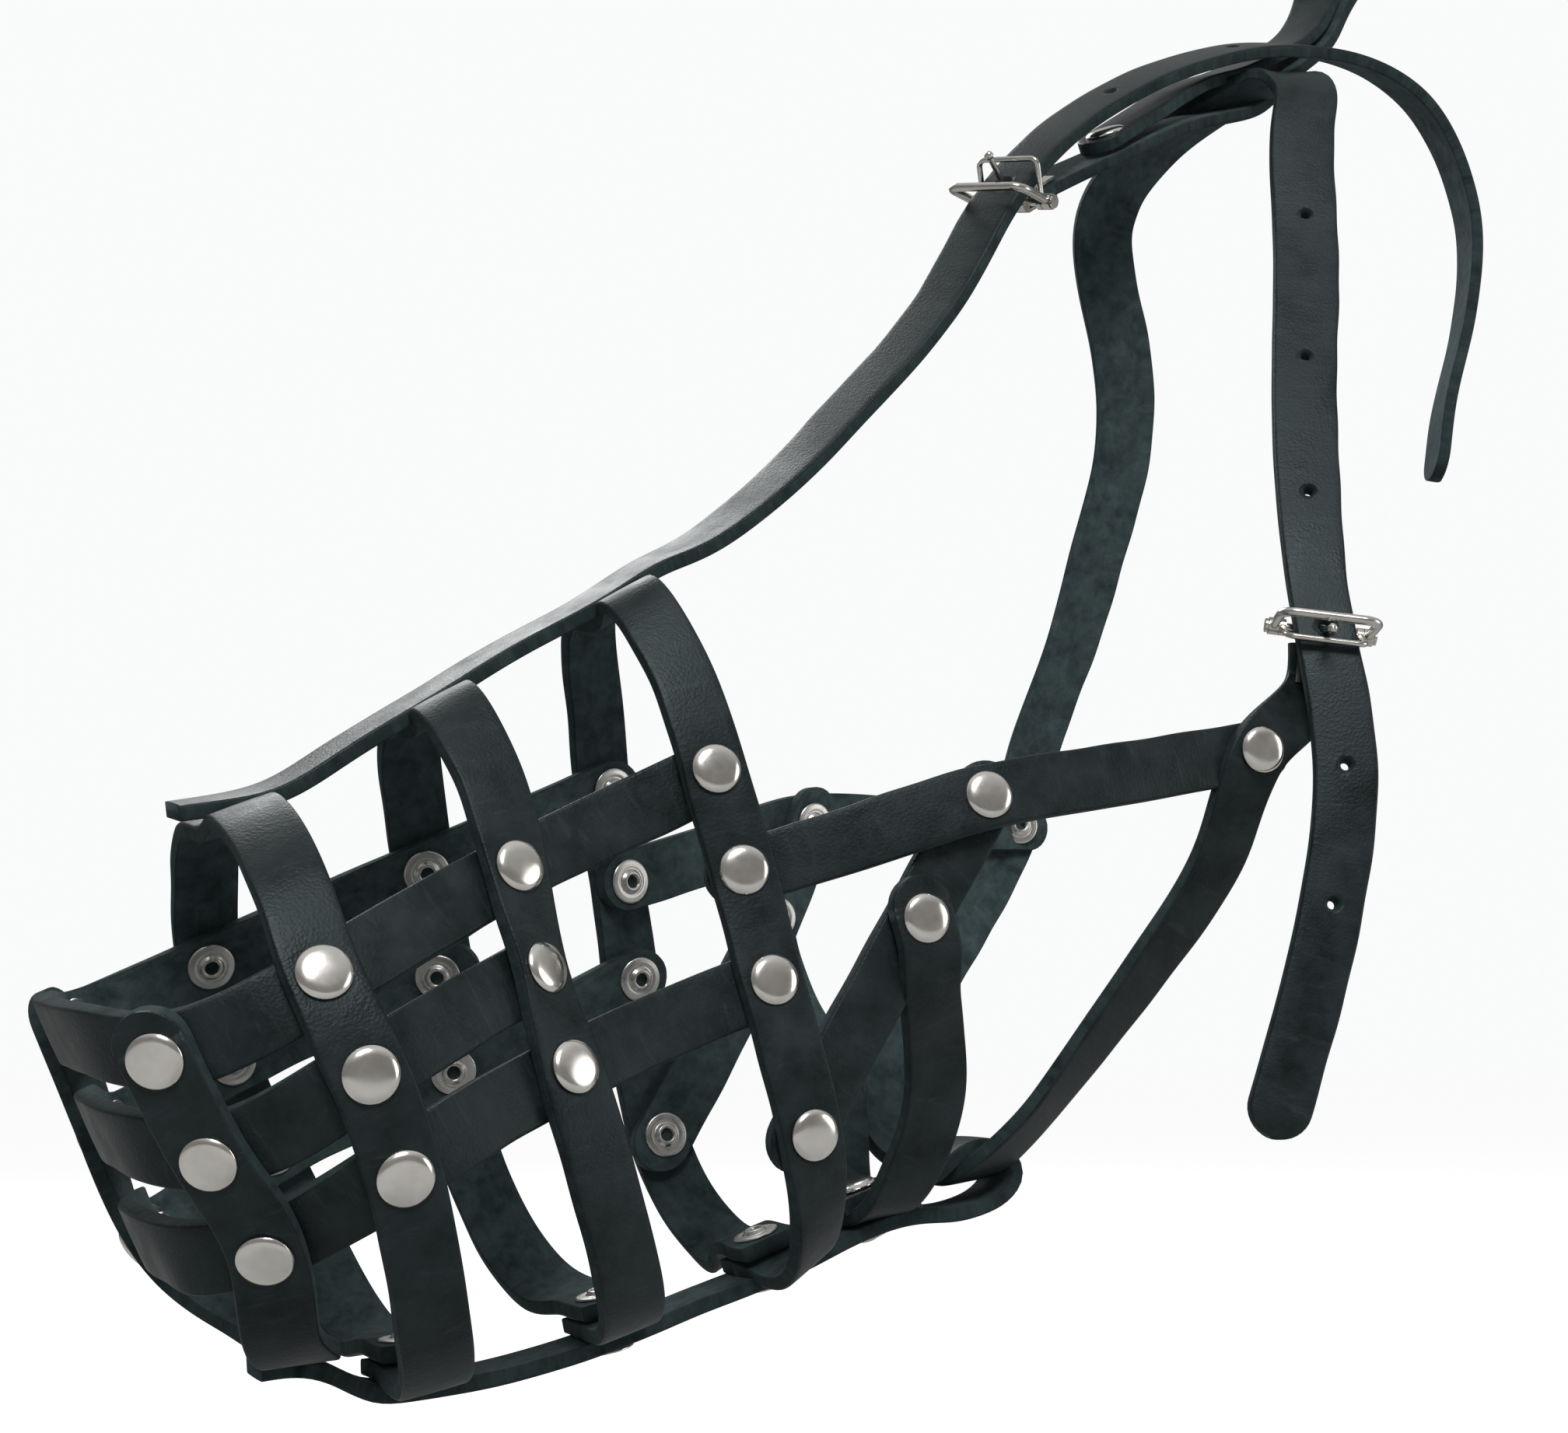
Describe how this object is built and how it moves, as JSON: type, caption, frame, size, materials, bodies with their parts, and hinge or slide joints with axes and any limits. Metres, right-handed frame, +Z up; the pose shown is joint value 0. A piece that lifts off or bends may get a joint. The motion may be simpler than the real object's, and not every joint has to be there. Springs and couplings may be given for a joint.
{
  "type": "basket muzzle",
  "caption": "Open leather basket muzzle for a dog: riveted strap cage with forehead, cheek and jowl straps, buckled neck strap and crown loop.",
  "frame": {"origin": "middle of the rear hoop, the opening the head goes in at", "axes": "+Z up with the muzzle hanging from its crown loop, -X towards the nose, -Y the wearer's left side"},
  "size_m": [0.3532, 0.116, 0.3747],
  "materials": {
    "leather": "waxed grain outside, raw suede-like flesh side inside",
    "rivet_nickel": "satin nickel plate",
    "buckle_nickel": "bright nickel plate"
  },
  "bodies": {
    "muzzle": {"cheek_rivet_backs": "rivet_nickel", "cheek_rivet_caps": "rivet_nickel", "cheek_strap_left": "leather", "cheek_strap_right": "leather", "chin_rivet_backs": "rivet_nickel", "chin_rivet_caps": "rivet_nickel", "chin_strap": "leather", "crown_loop_strap": "leather", "crown_rivet_back": "rivet_nickel", "crown_rivet_cap": "rivet_nickel", "diagonal_strap_left": "leather", "diagonal_strap_right": "leather", "forehead_buckle_clip": "buckle_nickel", "forehead_buckle_pin": "buckle_nickel", "forehead_strap": "leather", "front_hoop_rivet_backs": "rivet_nickel", "front_hoop_rivet_caps": "rivet_nickel", "front_strap": "leather", "front_strap_rivet_backs": "rivet_nickel", "front_strap_rivet_caps": "rivet_nickel", "hoop_front": "leather", "hoop_middle": "leather", "hoop_rear": "leather", "jowl_strap": "leather", "middle_hoop_rivet_backs": "rivet_nickel", "middle_hoop_rivet_caps": "rivet_nickel", "neck_buckle_clip": "buckle_nickel", "neck_buckle_pin": "buckle_nickel", "neck_strap": "leather", "nose_band_lower": "leather", "nose_band_middle": "leather", "nose_band_upper": "leather", "rear_hoop_rivet_backs": "rivet_nickel", "rear_hoop_rivet_caps": "rivet_nickel", "throat_rivet_backs": "rivet_nickel", "throat_rivet_caps": "rivet_nickel"},
    "neck_buckle_frame": {"neck_buckle_frame": "buckle_nickel"},
    "neck_buckle_keeper": {"neck_buckle_keeper": "buckle_nickel"},
    "neck_buckle_prong": {"neck_buckle_prong": "buckle_nickel"},
    "forehead_buckle_frame": {"forehead_buckle_frame": "buckle_nickel"},
    "forehead_buckle_keeper": {"forehead_buckle_keeper": "buckle_nickel"},
    "forehead_buckle_prong": {"forehead_buckle_prong": "buckle_nickel"}
  },
  "joints": [
    {"name": "neck_buckle_frame_swing", "type": "hinge", "parent": "muzzle", "child": "neck_buckle_frame", "pos_m": [0.11901, -0.0482, 0.0631], "axis": [0.8558, -0.4976, -0.1413], "range_deg": [-28, 0]},
    {"name": "neck_buckle_keeper_swing", "type": "hinge", "parent": "muzzle", "child": "neck_buckle_keeper", "pos_m": [0.11901, -0.0482, 0.0631], "axis": [0.8558, -0.4976, -0.1413], "range_deg": [0, 6]},
    {"name": "neck_buckle_prong_swing", "type": "hinge", "parent": "muzzle", "child": "neck_buckle_prong", "pos_m": [0.11901, -0.0482, 0.0631], "axis": [0.8558, -0.4976, -0.1413], "range_deg": [-2, 1]},
    {"name": "forehead_buckle_frame_swing", "type": "hinge", "parent": "muzzle", "child": "forehead_buckle_frame", "pos_m": [0.07601, 0.00213, 0.17164], "axis": [-0.417, 0.8746, 0.2473], "range_deg": [-12, 16]},
    {"name": "forehead_buckle_keeper_swing", "type": "hinge", "parent": "muzzle", "child": "forehead_buckle_keeper", "pos_m": [0.07601, 0.00213, 0.17164], "axis": [-0.417, 0.8746, 0.2473], "range_deg": [-14, 4]},
    {"name": "forehead_buckle_prong_swing", "type": "hinge", "parent": "muzzle", "child": "forehead_buckle_prong", "pos_m": [0.07601, 0.00213, 0.17164], "axis": [-0.417, 0.8746, 0.2473], "range_deg": [-4, 6]}
  ]
}
